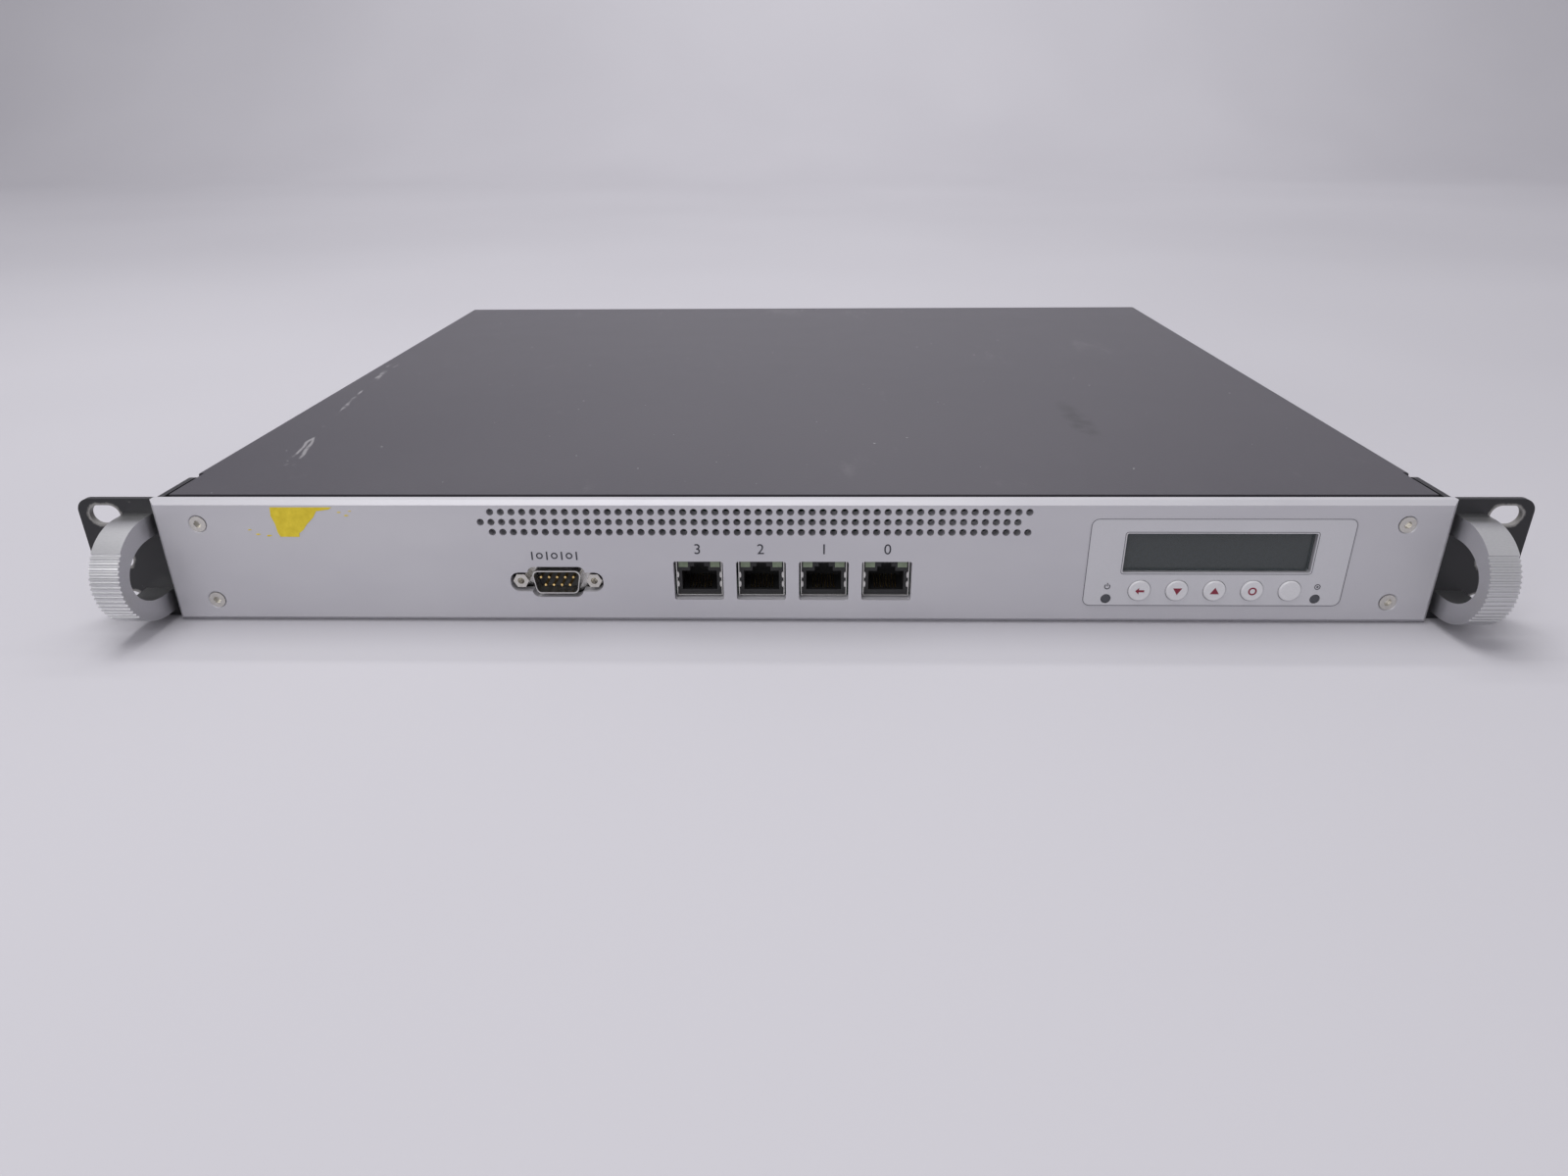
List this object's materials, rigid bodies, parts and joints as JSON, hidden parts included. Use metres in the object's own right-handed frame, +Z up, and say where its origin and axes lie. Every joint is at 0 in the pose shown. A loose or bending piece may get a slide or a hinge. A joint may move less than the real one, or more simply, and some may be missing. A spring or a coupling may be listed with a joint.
{
  "type": "rack-mounted network firewall appliance",
  "caption": "One-unit rack appliance with brushed front panel, vent rows, console and network sockets, keypad display, slotted ears and pull handles.",
  "frame": {"origin": "centre of the footprint, on the underside", "axes": "+X to the right seen from the front, +Y to the back, +Z up"},
  "size_m": [0.4826, 0.3896, 0.0442],
  "materials": {
    "panel": "satin",
    "nickel": "polished",
    "dark_steel": "matte",
    "cover_paint": "satin",
    "black_steel": "matte",
    "ear_paint": "satin",
    "handle_metal": "satin",
    "tin": "satin",
    "black_plastic": "matte",
    "gold": "polished",
    "lamp_plastic": "gloss",
    "film": "satin",
    "window_glass": "clear",
    "display_face": "gloss",
    "board": "satin",
    "sink": "satin",
    "drive_case": "satin",
    "zinc": "satin",
    "key_plastic": "satin",
    "lead_jacket": "matte"
  },
  "bodies": {
    "chassis": {"board_screws": "nickel", "board_standoffs": "nickel", "chassis_base": "dark_steel", "coin_cell": "nickel", "console_insert": "black_plastic", "console_jack_screws": "nickel", "console_pins": "gold", "console_shell": "tin", "cover_screws": "black_steel", "display_board": "board", "display_module": "display_face", "display_overlay": "film", "display_posts": "nickel", "display_window": "window_glass", "drive_rails": "black_plastic", "ear_screws": "black_steel", "expansion_cover": "dark_steel", "fan_guards": "tin", "front_panel": "panel", "front_panel_screws": "nickel", "handle_screws": "nickel", "hard_drive": "drive_case", "internal_leads": "lead_jacket", "key_switches": "black_plastic", "left_handle": "handle_metal", "left_rack_ear": "ear_paint", "mainboard": "board", "memory_modules": "board", "memory_sockets": "black_plastic", "port_0_insert": "black_plastic", "port_0_shield": "tin", "port_1_insert": "black_plastic", "port_1_shield": "tin", "port_2_insert": "black_plastic", "port_2_shield": "tin", "port_3_insert": "black_plastic", "port_3_shield": "tin", "port_contacts": "gold", "port_lamps": "lamp_plastic", "power_inlet": "black_plastic", "power_supply_board": "board", "power_supply_case": "zinc", "processor_heatsink": "sink", "rear_fan_1_frame": "black_plastic", "rear_fan_2_frame": "black_plastic", "rear_panel": "dark_steel", "rear_screws": "nickel", "right_handle": "handle_metal", "right_rack_ear": "ear_paint", "status_lamps": "lamp_plastic", "switch_frame": "black_plastic", "top_cover": "cover_paint"},
    "key_1": {"key_1": "key_plastic"},
    "key_2": {"key_2": "key_plastic"},
    "key_3": {"key_3": "key_plastic"},
    "key_4": {"key_4": "key_plastic"},
    "key_5": {"key_5": "key_plastic"},
    "rear_fan_1_rotor": {"rear_fan_1_rotor": "black_plastic"},
    "rear_fan_2_rotor": {"rear_fan_2_rotor": "black_plastic"},
    "power_rocker": {"power_rocker": "black_plastic"}
  },
  "joints": [
    {"name": "key_1_press", "type": "slide", "parent": "chassis", "child": "key_1", "axis": [0, 1, 0], "range_m": [0, 0.0005], "stiffness_N_per_m": 400, "springref_m": -0.0004},
    {"name": "key_2_press", "type": "slide", "parent": "chassis", "child": "key_2", "axis": [0, 1, 0], "range_m": [0, 0.0005], "stiffness_N_per_m": 400, "springref_m": -0.0004},
    {"name": "key_3_press", "type": "slide", "parent": "chassis", "child": "key_3", "axis": [0, 1, 0], "range_m": [0, 0.0005], "stiffness_N_per_m": 400, "springref_m": -0.0004},
    {"name": "key_4_press", "type": "slide", "parent": "chassis", "child": "key_4", "axis": [0, 1, 0], "range_m": [0, 0.0005], "stiffness_N_per_m": 400, "springref_m": -0.0004},
    {"name": "key_5_press", "type": "slide", "parent": "chassis", "child": "key_5", "axis": [0, 1, 0], "range_m": [0, 0.0005], "stiffness_N_per_m": 400, "springref_m": -0.0004},
    {"name": "rear_fan_1_spin", "type": "hinge", "parent": "chassis", "child": "rear_fan_1_rotor", "pos_m": [-0.176, 0.182, 0.0214], "axis": [0, 1, 0], "continuous": true},
    {"name": "rear_fan_2_spin", "type": "hinge", "parent": "chassis", "child": "rear_fan_2_rotor", "pos_m": [-0.112, 0.182, 0.0214], "axis": [0, 1, 0], "continuous": true},
    {"name": "power_rocker_tilt", "type": "hinge", "parent": "chassis", "child": "power_rocker", "pos_m": [0.164, 0.1882, 0.0216], "axis": [1, 0, 0], "range_deg": [-12, 12]}
  ]
}
